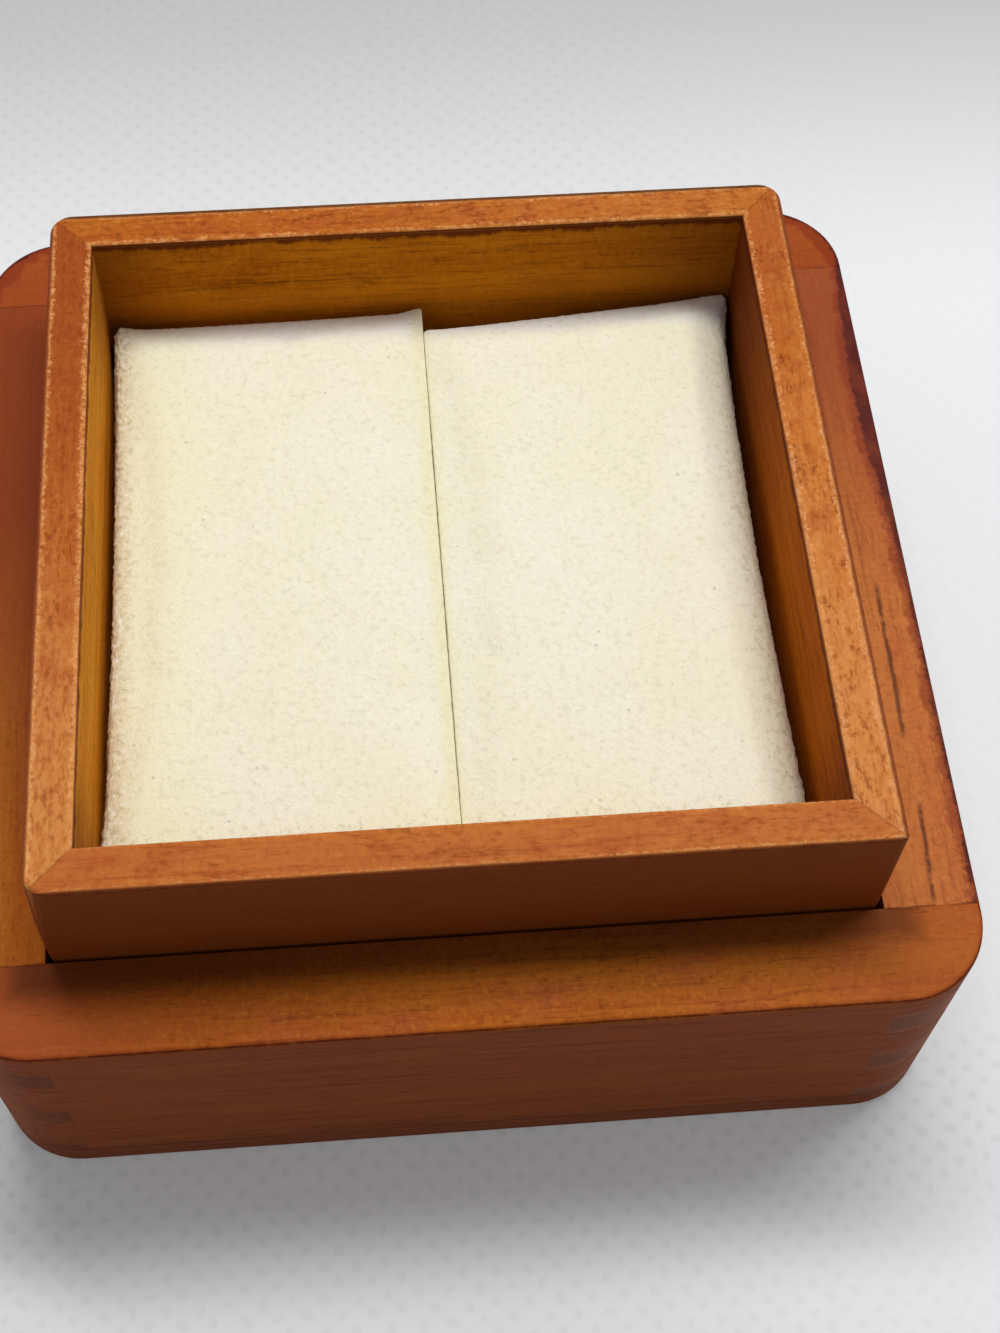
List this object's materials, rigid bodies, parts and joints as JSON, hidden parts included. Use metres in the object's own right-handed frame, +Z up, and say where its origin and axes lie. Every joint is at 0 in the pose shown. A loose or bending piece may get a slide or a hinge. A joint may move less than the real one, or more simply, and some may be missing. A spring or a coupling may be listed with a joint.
{
  "type": "ring display box",
  "caption": "Square finger-jointed wooden ring box with a raised mitred liner that locates a lift-off lid and velour foam pads that grip rings in a slit.",
  "frame": {"origin": "centre of the underside of the base", "axes": "+Z up out of the open box, -Y the front in the picture, +X to the right seen from the front"},
  "size_m": [0.08, 0.08, 0.0382],
  "materials": {
    "base_wood": "reddish brown stain under thin satin lacquer",
    "liner_wood": "orange brown stain outside, worn at the arrises, golden and unstained inside",
    "pad_velour": "cream velour with a short nap",
    "pad_foam": "open-cell foam",
    "pad_card": "plain grey board"
  },
  "bodies": {
    "box": {"base_front": "base_wood", "base_back": "base_wood", "base_left": "base_wood", "base_right": "base_wood", "base_plate": "base_wood", "liner_front": "liner_wood", "liner_back": "liner_wood", "liner_left": "liner_wood", "liner_right": "liner_wood"},
    "left_pad": {"left_pad_cover": "pad_velour", "left_pad_foam": "pad_foam", "left_pad_card": "pad_card"},
    "right_pad": {"right_pad_cover": "pad_velour", "right_pad_foam": "pad_foam", "right_pad_card": "pad_card"}
  },
  "joints": [
    {"name": "left_pad_lift", "type": "slide", "parent": "box", "child": "left_pad", "axis": [0, 0, 1], "range_m": [0, 0.042]},
    {"name": "right_pad_lift", "type": "slide", "parent": "box", "child": "right_pad", "axis": [0, 0, 1], "range_m": [0, 0.042]}
  ]
}
